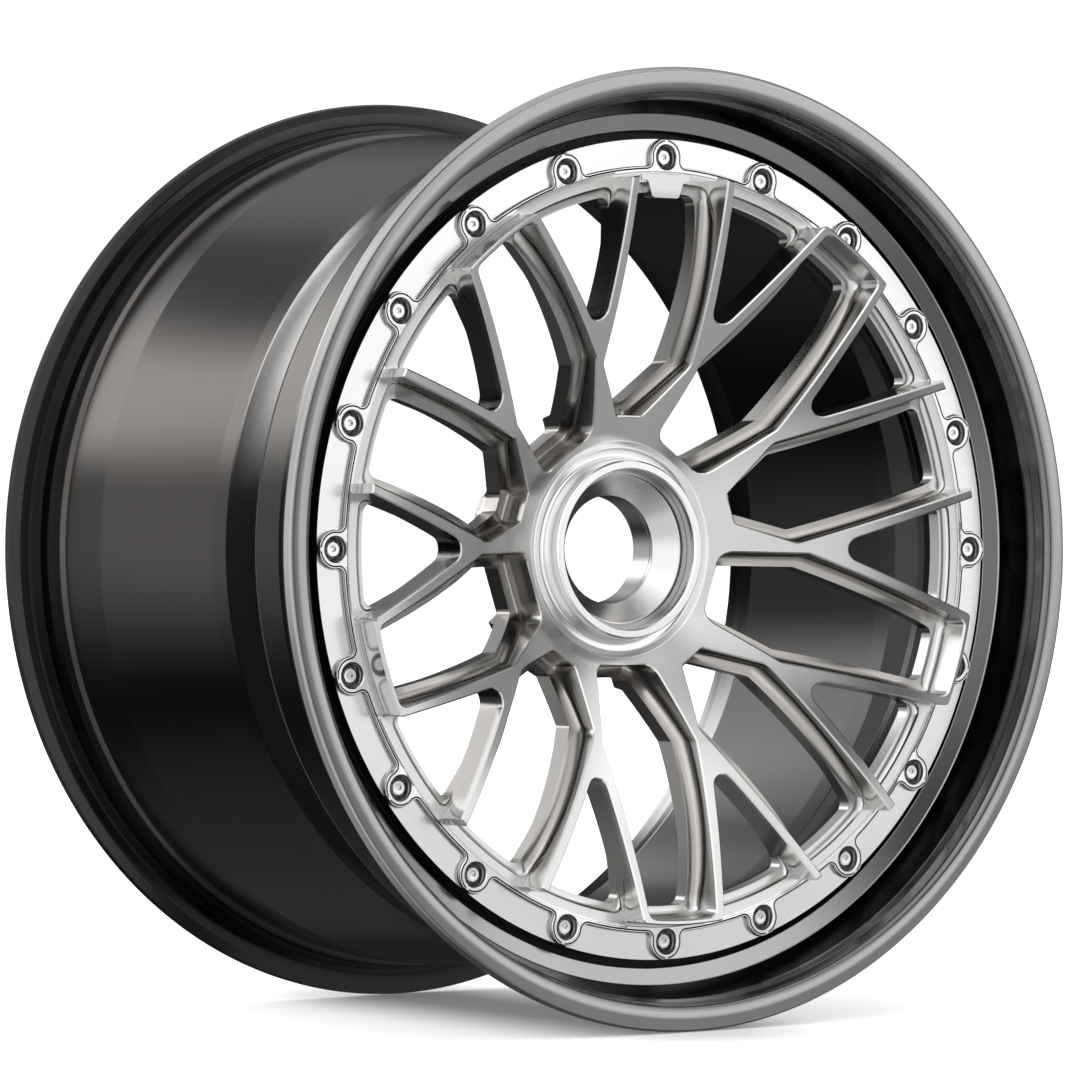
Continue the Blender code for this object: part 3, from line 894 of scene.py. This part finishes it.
def blank_pad():
    """Plain raised pad at the top of the ring, where a maker would put a name."""
    half = [(13.4, SHELF_RADIUS + 0.9, 2.6), (17.5, SHELF_RADIUS + 1.2, 0), (17.5, TIP_RADIUS + 0.6, 0)]
    corners = [(9.6, 208.4, 2.6)] + half + [(-x, y, r) for x, y, r in reversed(half)] + [(-9.6, 208.4, 2.6)]
    outline = rounded(corners, 20.0)
    grown = [point + (point - Vector((0, 214))).normalized() * -0.35 for point in outline]
    rings = [draped(grown, 0.45), draped(outline, 0.8), draped(outline, 9.0)]
    return lofted(rings)


def strip_sides(shape, last_angle):
    """Removes the faces on the two flat sides of a wedge."""
    def on_side(face, angle):
        normal = Vector((cos(radians(angle)), 0, -sin(radians(angle))))
        return all(abs(vertex.co.dot(normal)) < 0.004 for vertex in face.verts)

    sides = [face for face in shape.faces if on_side(face, 0.0) or on_side(face, last_angle)]
    bmesh.ops.delete(shape, geom=sides, context="FACES")
    return shape


def mirrored_pair(shape):
    """The shape and its mirror image about the line straight up from the axle."""
    other = shape.copy()
    other.transform(Matrix.Scale(-1, 4, (1, 0, 0)))
    bmesh.ops.reverse_faces(other, faces=other.faces)
    return gathered([shape, other])


def make_centre():
    """The forging: a tenth of it is cut from a turned wedge, then mirrored and repeated."""
    wedge = turned_wedge(centre_profile(), HALF_SECTOR, WEDGE_STEPS)
    cutters = [
        wide_cutter(OPEN_POINTS, (3.0, 10.0), SHELF_RIM, 0.3, True),
        spun_shape(wide_cutter(CLOSED_POINTS, (9.0, 10.0), 218.6, 5.0, False), HALF_SECTOR),
        spun_shape(spoke_cutter(), BOLT_STEP),
        bush_hole_cutter(),
    ]
    for number in (0.5, 1.5):
        cutters += [spun_shape(cutter, BOLT_STEP * number) for cutter in recess_cutters()]
    cutters += [bolt_hole_cutter(BOLT_STEP * index) for index in range(3)]
    for cutter in cutters:
        wedge = combined(wedge, cutter)
    padded = combined(wedge.copy(), blank_pad(), "UNION")
    plain = mirrored_pair(strip_sides(wedge, HALF_SECTOR))
    sectors = [mirrored_pair(strip_sides(padded, HALF_SECTOR))]
    sectors += [spun_shape(plain.copy(), 2 * HALF_SECTOR * index) for index in range(1, SECTOR_COUNT)]
    plain.free()
    whole = gathered(sectors)
    bmesh.ops.remove_doubles(whole, verts=whole.verts, dist=WELD)
    bmesh.ops.recalc_face_normals(whole, faces=whole.faces)
    new_piece("wheel_centre_forging", placed(whole), CENTRE_METAL, ["wheel_centre"])


# ---- rim halves

def profile_of(corners):
    return [(point.x, point.y) for point in rounded(corners, 10.0)]


def plate_holes(first, last):
    """Bars between two depths for the bolts' holes in a bolting plate."""
    profile = [(3.9, first), (3.9, last)]
    centres = [plan(BOLT_CIRCLE_RADIUS, BOLT_STEP * index) for index in range(BOLT_COUNT)]
    return gathered([plug(profile, 24, centre) for centre in centres])


def make_lip():
    """Outer rim half: bolting plate, cone, wall and rolled flange, then back under the tyre's bead."""
    crest = FRONT_DEPTH
    corners = [
        (213.5, 15.5, 0.2), (248.6, 15.3, 0), (248.6, 7.4, 0.9), (258.7, 3.9, 1.4),
        (LIP_EDGE_RADIUS, LIP_EDGE_DEPTH, 0.4), (265.6, -16.8, 0.8), (267.3, -20.5, 5.0),
        (268.9, crest + 1.2, 4.5), (275.6, crest, 12.0),
        (282.2, crest + 0.9, 3.4), (FLANGE_RADIUS, -26.4, 1.6), (282.9, -22.4, 1.4), (277.0, -18.6, 6.0),
        (271.2, -17.5, 4.0), (266.6, -11.5, 5.0), (265.4, 6.0, 8.0), (262.0, 13.5, 6.0), (262.0, 38.2, 0.6),
        (258.4, 38.2, 0.4), (258.4, 21.3, 2.0), (213.5, 21.3, 0.3),
    ]
    shape = combined(turned(profile_of(corners)), plate_holes(5.0, 30.0))
    new_piece("outer_lip_spinning", placed(shape), LIP_METAL, ["outer_lip"])


VALVE_SEAL_DROP = 3.6
VALVE_HOLE_RADIUS = 5.65
VALVE_HOLE_REACH = 12.0


def valve_matrix():
    """From the valve's own axes, with Z inwards along it, in millimetres, to the frame."""
    joint = next(item for item in frame["joints"] if item["name"] == "valve_cap_unscrew")
    axis = Vector(joint["axis"]).normalized()
    low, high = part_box("valve_seal")
    origin = (low + high) / 2 + axis * (VALVE_SEAL_DROP * MM)
    turn = Vector((0, 0, 1)).rotation_difference(axis).to_matrix().to_4x4()
    return Matrix.Translation(origin) @ turn @ Matrix.Scale(MM, 4)


def valve_hole():
    """Bar through the barrel's wall, in wheel space, for the hole that the valve stands in."""
    radius = VALVE_HOLE_RADIUS
    shape = lofted([
        [Vector((radius * cos(angle), radius * sin(angle), end)) for angle in full_turn(FINE_STEPS)]
        for end in (-VALVE_HOLE_REACH, VALVE_HOLE_REACH)
    ])
    shape.transform(Matrix.Scale(1 / MM, 4) @ Matrix.Translation((0, -BOSS_PLANE, 0)) @ valve_matrix())
    bmesh.ops.recalc_face_normals(shape, faces=shape.faces)
    return shape


def make_barrel():
    """Inner rim half: bolting plate, drop well, cone, bead seat and rear flange, then back inside."""
    corners = [
        (213.5, 21.6, 0.3), (258.1, 21.6, 0.4), (258.1, 40.3, 0.3), (261.4, 40.3, 0.5), (250.4, 90.0, 14.0),
        (251.2, 105.0, 10.0), (260.3, 219.0, 1.5), (261.4, 260.0, 3.0), (265.9, 266.4, 2.4),
        (266.7, 272.0, 3.0), (266.7, 281.0, 5.0), (271.0, 286.5, 3.5), (277.0, 287.0, 6.0),
        (283.0, 289.8, 1.0),
        (FLANGE_RADIUS, 293.2, 1.8), (281.9, REAR_DEPTH - 0.7, 3.4), (275.0, REAR_DEPTH, 10.0),
        (267.0, 294.0, 6.0), (260.6, 270.0, 8.0),
        (256.2, 256.0, 8.0), (246.2, 107.0, 8.0), (245.4, 90.0, 8.0), (253.0, 54.0, 10.0),
        (253.0, 33.5, 4.0),
        (247.0, 27.6, 5.0), (213.5, 27.6, 0.3),
    ]
    shape = combined(turned(profile_of(corners)), plate_holes(12.0, 40.0))
    shape = combined(shape, valve_hole())
    new_piece("inner_barrel_spinning", placed(shape), BARREL_METAL, ["inner_barrel"])


def turned_piece(name, corners, material, node):
    """A finished piece that is turned about the axle from a section of (radius, depth, round) corners."""
    new_piece(name, placed(turned(profile_of(corners))), material, [node])


def make_seal():
    corners = [(258.8, 38.5, 0.2), (261.7, 38.5, 0.3), (261.7, 40.0, 0.3), (258.8, 40.0, 0.2)]
    turned_piece("rim_joint_seal", corners, SEALANT, "rim_seal_ring")


# ---- hub

def make_seat():
    """Cone that the centre-lock nut pulls against, and the snap ring that keeps it in."""
    seat = [
        (BORE_RADIUS, 61.6, 0), (BORE_RADIUS, 59.2, 0.5), (44.0, 47.2, 0.5), (44.6, 46.9, 0.2),
        (46.2, 46.9, 0.3), (46.2, 62.0, 0.3), (33.1, 62.0, 0),
    ]
    turned_piece("nut_seat_cone", seat, SEAT_METAL, "nut_seat_insert")
    ring = [(44.9, 44.7, 0.25), (48.9, 44.7, 0.25), (48.9, 46.3, 0.25), (44.9, 46.3, 0.25)]
    turned_piece("seat_snap_ring", ring, SPRING_METAL, "seat_retaining_ring")


def make_bushes():
    """Steel bushes in the mounting pad, for the hub's drive pins."""
    bush = [(7.5, 60.0, 0.3), (10.0, 60.0, 0.3), (10.0, 79.5, 0.6), (7.5, 79.5, 0.9)]
    for number in range(1, SECTOR_COUNT + 1):
        centre = plan(DRIVE_PIN_CIRCLE_RADIUS, 2 * HALF_SECTOR * (number - 1))
        shape = placed(turned(profile_of(bush), FINE_STEPS, centre))
        node = f"drive_pin_bush_{number}"
        new_piece(f"drive_pin_sleeve_{number}", shape, BUSH_METAL, [node])


# ---- bolts and nuts

POINT_COUNT = 12
BOLT_TWIST = 7.0


def ways(count):
    """Directions all round a circle."""
    return [Vector((cos(angle), sin(angle))) for angle in full_turn(count)]


def disc(radius, count=2 * POINT_COUNT):
    return [way * radius for way in ways(count)]


def star(outer, inner):
    """Outline of a twelve-point head: two hexagons, one turned by 30 degrees."""
    return [way * (outer if index % 2 else inner) for index, way in enumerate(ways(2 * POINT_COUNT))]


def hexagon(corner, limit):
    """Outline of a hexagon with its corners at one radius, cut back to a circle as a chamfer does."""
    outline = []
    for angle in full_turn(FINE_STEPS):
        radius = min(corner * cos(pi / 6) / cos((angle % (pi / 3)) - pi / 6), limit)
        outline.append(Vector((radius * cos(angle), radius * sin(angle))))
    return outline


def bolt_shape():
    """Twelve-point flange bolt about the Y axis, with its seat at the bottom of the counterbore."""
    seat, top = 8.7, 2.6
    thread_start, end = 24.0, 36.9
    levels = [
        (disc(0.9), top + 1.5), (disc(1.3), top + 0.6), (disc(1.7), top + 0.1), (disc(2.1), top),
        (star(4.0, 3.9), top), (star(4.85, 4.3), top + 0.7), (star(4.9, 4.3), 6.6), (disc(4.9), 6.9),
        (disc(5.3), 7.1), (disc(5.5), 7.5), (disc(5.5), 8.4), (disc(5.3), seat), (disc(3.5), seat),
        (disc(3.5), thread_start),
    ]
    depth = thread_start
    while depth < end - 1.0:
        levels += [(disc(3.1), depth + 0.35), (disc(3.1), depth + 0.45), (disc(3.5), depth + 0.85),
                   (disc(3.5), depth + 0.95)]
        depth += 1.0
    levels += [(disc(2.9), end)]
    return lofted([draped(outline, depth) for outline, depth in levels])


def nut_shape():
    """Hexagon nut with chamfered corners, about the Y axis."""
    first, last = 27.9, 34.9
    corner, hole = 6.35, 3.75
    face = corner * cos(pi / 6) + 0.15
    levels = [
        (hole, first), (face, first), (corner, first + 0.45), (corner, last - 0.45), (face, last),
        (4.2, last), (hole, last - 0.4),
    ]
    return lofted([draped(hexagon(corner, limit), depth) for limit, depth in levels], loft_closed=True)


def make_fasteners():
    for number in range(1, BOLT_COUNT + 1):
        angle = BOLT_STEP * (number - 1)
        centre = plan(BOLT_CIRCLE_RADIUS, angle)
        twist = Matrix.Rotation(radians(angle + BOLT_TWIST * number), 4, "Y")
        spot = Matrix.Translation((centre.x, 0, centre.y)) @ twist
        for kind, shape, material in (("bolt", bolt_shape(), CHROME), ("nut", nut_shape(), NUT_METAL)):
            shape.transform(spot)
            place = f"{kind}_{number:02d}"
            new_piece(f"lip_{place}", placed(shape), material, [f"rim_{place}"])


# ---- tyre valve

RIB_COUNT = 24
THREAD_PITCH = 1.0


def about_z(levels):
    """Rings of points about the Z axis, from (outline, height) levels."""
    return [[Vector((point.x, point.y, height)) for point in outline] for outline, height in levels]


def turned_on_valve(corners, steps=FINE_STEPS):
    """A section of (radius, height, round) corners turned about the valve's axis."""
    profile = rounded(corners, 15.0)
    return lofted([
        [Vector((point.x * cos(angle), point.x * sin(angle), point.y)) for point in profile]
        for angle in full_turn(steps)
    ], loft_closed=True)


def stem_shape():
    """Hollow stem with ring-shaped threads, a shoulder and a foot outside the barrel's wall."""
    threads = []
    height = 27.4
    while height > 6.0:
        threads += [(4.0, height, 0), (3.65, height - 0.4, 0)]
        threads += [(3.65, height - 0.5, 0), (4.0, height - 0.9, 0)]
        height -= THREAD_PITCH
    top = [(2.6, 28.0, 0), (3.7, 28.0, 0)]
    foot = [(5.2, -4.6, 0), (9.0, -4.6, 0.5), (9.0, -6.6, 0.9), (2.6, -6.6, 0)]
    return turned_on_valve(top + threads + [(4.0, 2.5, 0), (5.2, 2.5, 0.3)] + foot)


def pin_shape():
    levels = [
        (disc(0.4), 27.4), (disc(0.7), 27.1), (disc(0.7), 14.8), (disc(1.6), 14.6), (disc(1.8), 14.4),
        (disc(1.8), 13.2), (disc(1.6), 13.0),
    ]
    return lofted(about_z(levels))


def valve_nut_shape():
    corner, hole = 7.5, 4.4
    face = corner * cos(pi / 6) + 0.2
    levels = [
        (hole, 4.4), (face, 4.4), (corner, 4.9), (corner, 8.9), (face, 9.4), (4.7, 9.4), (hole, 9.1),
    ]
    rings = about_z([(hexagon(corner, limit), height) for limit, height in levels])
    return lofted(rings, loft_closed=True)


def ribbed(radius, depth):
    """Outline of the cap's grip, with a rib for every four points."""
    points = enumerate(ways(4 * RIB_COUNT))
    return [way * (radius - (depth if index % 4 in (0, 3) else 0.0)) for index, way in points]


def cap_shape():
    """Dust cap, open at the bottom, with a ribbed grip and a domed top."""
    plain = [(3.6, 29.2), (4.3, 28.6), (4.3, 20.6), (4.6, 20.1), (4.9, 20.1)]
    crown = [(4.2, 31.9), (2.6, 32.0)]
    levels = [(disc(radius, 4 * RIB_COUNT), height) for radius, height in plain]
    levels += [(ribbed(5.15, 0.28), 20.6), (ribbed(5.15, 0.28), 30.4), (ribbed(4.9, 0.15), 31.3)]
    levels += [(disc(radius, 4 * RIB_COUNT), height) for radius, height in crown]
    return lofted(about_z(levels))


def make_valve():
    """The tyre valve's pieces, each shaped about the valve's own Z axis."""
    matrix = valve_matrix()

    def fit(name, shape, material, node, body="wheel"):
        shape.transform(matrix)
        bmesh.ops.recalc_face_normals(shape, faces=shape.faces)
        new_piece(name, shape, material, [node], body)

    seal = [(5.5, -2.9, 0.4), (8.6, -2.9, 0.6), (8.6, -4.3, 0.6), (5.5, -4.3, 0.4)]
    washer = [(4.3, 4.1, 0.2), (7.6, 4.1, 0.3), (7.6, 2.9, 0.3), (4.3, 2.9, 0.2)]
    core = [(1.0, 26.0, 0.2), (2.3, 26.0, 0.3), (2.3, 15.0, 0.3), (1.0, 15.0, 0.2)]
    fit("tyre_valve_stem", stem_shape(), NICKEL, "valve_stem")
    fit("tyre_valve_seal", turned_on_valve(seal), RUBBER, "valve_seal")
    fit("tyre_valve_washer", turned_on_valve(washer), WASHER_METAL, "valve_washer")
    fit("tyre_valve_core", turned_on_valve(core, 24), NICKEL, "valve_core")
    fit("tyre_valve_pin", pin_shape(), NICKEL, "valve_core_pin", "valve_pin_body")
    fit("tyre_valve_nut", valve_nut_shape(), NICKEL, "valve_nut")
    fit("tyre_valve_dust_cap", cap_shape(), CAP_PLASTIC, "valve_cap", "valve_cap_body")


make_centre()
make_lip()
make_barrel()
make_seal()
make_seat()
make_bushes()
make_fasteners()
make_valve()


# ---- studio

GROUND_HALF_WIDTH = 30.0
# Painted light and shadow on the floor: it glows more the further it lies from where the wheel stands.
PAINTED_SHADOW_REACH = (0.01, 0.12)
FLOOR_GLOW_WITH_PAINTED_SHADOW = (0.12, 0.6)
FILL_LIGHT = 0.03
BACKDROP_LIGHT = 1.1

# The camera's place is in metres from the axle and from the plane of the bolt bosses.
CAMERA_LENS = 174.68
CAMERA_SHIFT = 0.0087
CAMERA_LEFT = 1.8348
CAMERA_AHEAD = 2.5121
CAMERA_YAW = 34.76


def make_floor():
    """Matt white ground that glows with painted light, least where the wheel stands, which paints a shadow
    there beside the one the wheel casts.
    """
    shape = bmesh.new()
    bmesh.ops.create_grid(shape, x_segments=1, y_segments=1, size=GROUND_HALF_WIDTH)
    floor = loose_object("studio_floor", shape)
    floor.location.z = CAD_BOX[0].z
    material, nodes, shader = new_material("white_floor")
    names = ("Base Color", "Roughness", "Specular IOR Level", "Emission Color")
    nodes.feed([shader.inputs[name] for name in names], ((0.9, 0.9, 0.9), 0.9, 0.0, (1.0, 1.0, 1.0)))
    across, ahead = nodes.parted(nodes.place("Object"))[:2]
    # Painted shadow: the floor's glow is weakest near the line where the wheel stands.
    half_width = (CAD_BOX[1].y - CAD_BOX[0].y) / 2
    beyond = nodes.math("MAXIMUM", nodes.minus(nodes.math("ABSOLUTE", ahead), half_width), 0.0)
    glow = nodes.ramp(nodes.length(beyond, across), *PAINTED_SHADOW_REACH, *FLOOR_GLOW_WITH_PAINTED_SHADOW, smooth=True)
    nodes.link(glow, shader.inputs["Emission Strength"])
    floor.data.materials.append(material)
    floor.visible_glossy = False


def make_world():
    """White backdrop, and soft boxes round the wheel that its surfaces reflect."""
    world = bpy.data.worlds.new("studio")
    bpy.context.scene.world = world
    world.use_nodes = True
    nodes = Nodes(world.node_tree)
    world.node_tree.nodes.clear()
    x, y, z = nodes.parted(nodes.place("Generated"))
    around = nodes.times(nodes.math("ARCTAN2", x, nodes.times(y, -1.0)), degrees(1.0))
    height = nodes.times(nodes.math("ARCSINE", z), degrees(1.0))

    def soft_box(left, right, low, high, blur, strength):
        """Light between two azimuths, from the front round to the right, and two heights, in degrees."""
        breadth = nodes.between(around, left, right, blur)
        return nodes.times(nodes.times(breadth, nodes.between(height, low, high, blur)), strength)

    total = FILL_LIGHT
    for box in [
        (20, 60, -3, 41, 6, 1.55),
        (58, 115, -4, 50, 12, 0.38),
        (55, 77, 24, 44, 6, 0.8),
        (-150, -42, -11, 55, 12, 0.8),
        (-130, 0, -70, 62, 14, 0.58),
        (-60, -1, -46, 46, 8, 0.62),
        (14, 115, -75, -4, 10, 0.55),
        (-400, 400, 48, 100, 12, 1.25),
        (-190, -142, 14, 31, 5, 2.6),
        (-400, -168, 10, 27, 5, 2.6),
        (165, 400, 10, 27, 5, 5),
        (120, 182, 20, 46, 10, 0.3),
        (-400, 400, 30, 50, 6, 0.26),
        (-400, -100, -100, -30, 7, 0.11),
        (110, 400, -100, -30, 7, 0.11),
    ]:
        total = nodes.plus(total, soft_box(*box))
    light = nodes.add("Background")
    nodes.link(total, light.inputs["Strength"])
    backdrop = nodes.add("Background", in_Strength=BACKDROP_LIGHT, in_Color=(1.0, 1.0, 1.0, 1.0))
    choice = nodes.add("MixShader")
    seen = nodes.add("LightPath").outputs["Is Camera Ray"]
    nodes.feed(choice.inputs, (seen, light.outputs[0], backdrop.outputs[0]))
    output = nodes.add("OutputWorld")
    nodes.link(choice.outputs[0], output.inputs["Surface"])


def make_camera():
    """Long lens at the height of the axle, in front of the face and to its left."""
    data = bpy.data.cameras.new("camera")
    data.sensor_width = 36.0
    data.lens = CAMERA_LENS
    data.shift_y = CAMERA_SHIFT
    camera = bpy.data.objects.new("camera", data)
    bpy.context.scene.collection.objects.link(camera)
    camera.location = (-CAMERA_LEFT, BOSS_PLANE - CAMERA_AHEAD, 0.0)
    camera.rotation_euler = (radians(90), 0, -radians(CAMERA_YAW))
    bpy.context.scene.camera = camera


make_floor()
make_world()
make_camera()
bpy.context.scene.view_settings.view_transform = "Standard"
